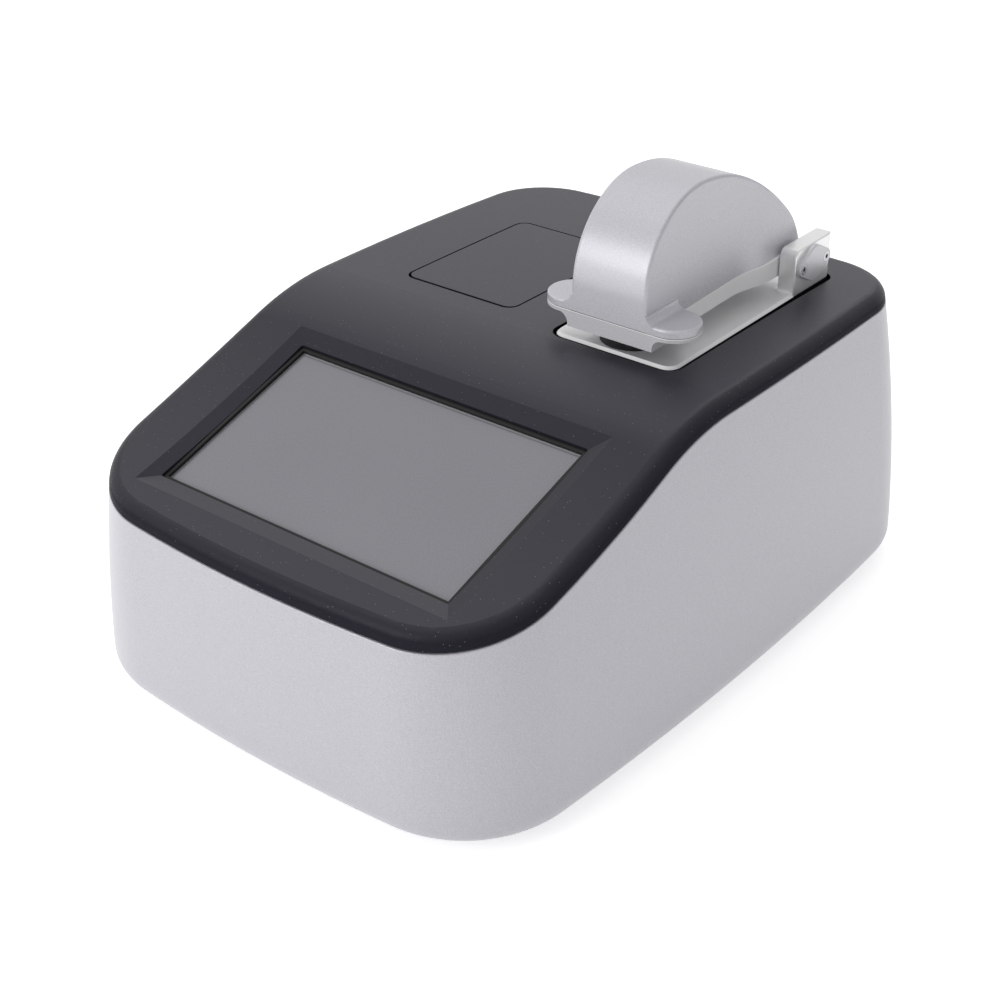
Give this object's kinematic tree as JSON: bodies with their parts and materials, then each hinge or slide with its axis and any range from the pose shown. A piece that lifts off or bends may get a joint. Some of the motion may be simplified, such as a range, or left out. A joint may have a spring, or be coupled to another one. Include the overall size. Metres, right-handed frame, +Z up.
{
  "type": "microvolume spectrophotometer",
  "caption": "Microvolume spectrophotometer with a tilted touch screen, a swing-up measuring arm over a sample pedestal and a hinged cuvette hatch",
  "frame": {"origin": "middle of the footprint, on the bench under the four feet", "axes": "+X to the right seen from the front, +Y to the rear, +Z up"},
  "size_m": [0.2532, 0.3442, 0.207],
  "materials": {
    "silver_paint": "metallic silver paint with fine sparkle, satin",
    "dark_cover": "fine-grained matte dark grey",
    "zinc_sheet": "zinc-plated sheet steel",
    "foot_rubber": "matte black rubber",
    "screw_steel": "bright zinc-plated steel",
    "screen_glass": "touch glass over a display that is off, satin",
    "display_grey": "display module frame",
    "satin_aluminium": "satin machined aluminium with bright chamfers",
    "black_anodised": "matte black anodised aluminium",
    "pedestal_steel": "polished stainless steel",
    "fibre_silica": "polished fused silica",
    "bush_brass": "plain brass",
    "cap_silver": "silver paint, satin",
    "sand_silver": "cast aluminium, fine sand texture, silver paint",
    "lamp_housing": "dark moulded housing",
    "bay_black": "matte black moulding",
    "cast_deck": "plain cast aluminium",
    "fibre_jacket": "black fibre jacket with ferrules",
    "board_green": "green solder mask",
    "panel_black": "black powder coat",
    "socket_black": "black moulded plastic",
    "socket_steel": "nickel-plated shell",
    "socket_grey": "grey moulded plastic"
  },
  "bodies": {
    "base": {"lower_shell": "silver_paint", "top_cover": "dark_cover", "base_plate": "zinc_sheet", "rubber_feet": "foot_rubber", "base_screws": "screw_steel", "touch_glass": "screen_glass", "display_module": "display_grey", "display_bracket": "zinc_sheet", "display_screws": "screw_steel", "sample_plate": "satin_aluminium", "pedestal_seat": "black_anodised", "hinge_shaft": "pedestal_steel", "hinge_caps": "cap_silver", "hinge_cap_screws": "screw_steel", "lid_hinge_pin": "pedestal_steel", "cuvette_bay": "bay_black", "cuvette_holder": "black_anodised", "light_barrels": "black_anodised", "optics_deck": "cast_deck", "deck_legs": "cast_deck", "deck_screws": "screw_steel", "path_actuator": "lamp_housing", "fibre_link": "fibre_jacket", "spectrometer": "black_anodised", "main_board": "board_green", "power_board": "board_green", "board_standoffs": "bush_brass", "board_screws": "screw_steel", "rear_panel": "panel_black", "panel_screws": "screw_steel", "power_inlet": "socket_black", "switch_housing": "socket_black", "usb_sockets": "socket_steel", "network_socket": "socket_grey"},
    "arm": {"arm_beam": "sand_silver", "arm_cover": "silver_paint", "arm_screws": "screw_steel", "flash_lamp": "lamp_housing", "upper_pedestal": "pedestal_steel", "upper_fibre": "fibre_silica", "hinge_bushes": "bush_brass"},
    "lid": {"cuvette_lid": "dark_cover"},
    "path_lift": {"lower_pedestal": "pedestal_steel", "lower_fibre": "fibre_silica"},
    "rocker": {"power_rocker": "socket_black"}
  },
  "joints": [
    {"name": "arm_hinge", "type": "hinge", "parent": "base", "child": "arm", "pos_m": [0.0505, 0.1115, 0.1522], "axis": [-1, 0, 0], "range_deg": [0, 100]},
    {"name": "cuvette_lid_hinge", "type": "hinge", "parent": "base", "child": "lid", "pos_m": [-0.04025, 0.092, 0.13802], "axis": [-1, 0, 0], "range_deg": [0, 100]},
    {"name": "path_lift_slide", "type": "slide", "parent": "base", "child": "path_lift", "axis": [0, 0, 1], "range_m": [0, 0.0007]},
    {"name": "power_rocker_hinge", "type": "hinge", "parent": "base", "child": "rocker", "pos_m": [-0.018, 0.159, 0.049], "axis": [0, 0, -1], "range_deg": [0, 12]}
  ]
}
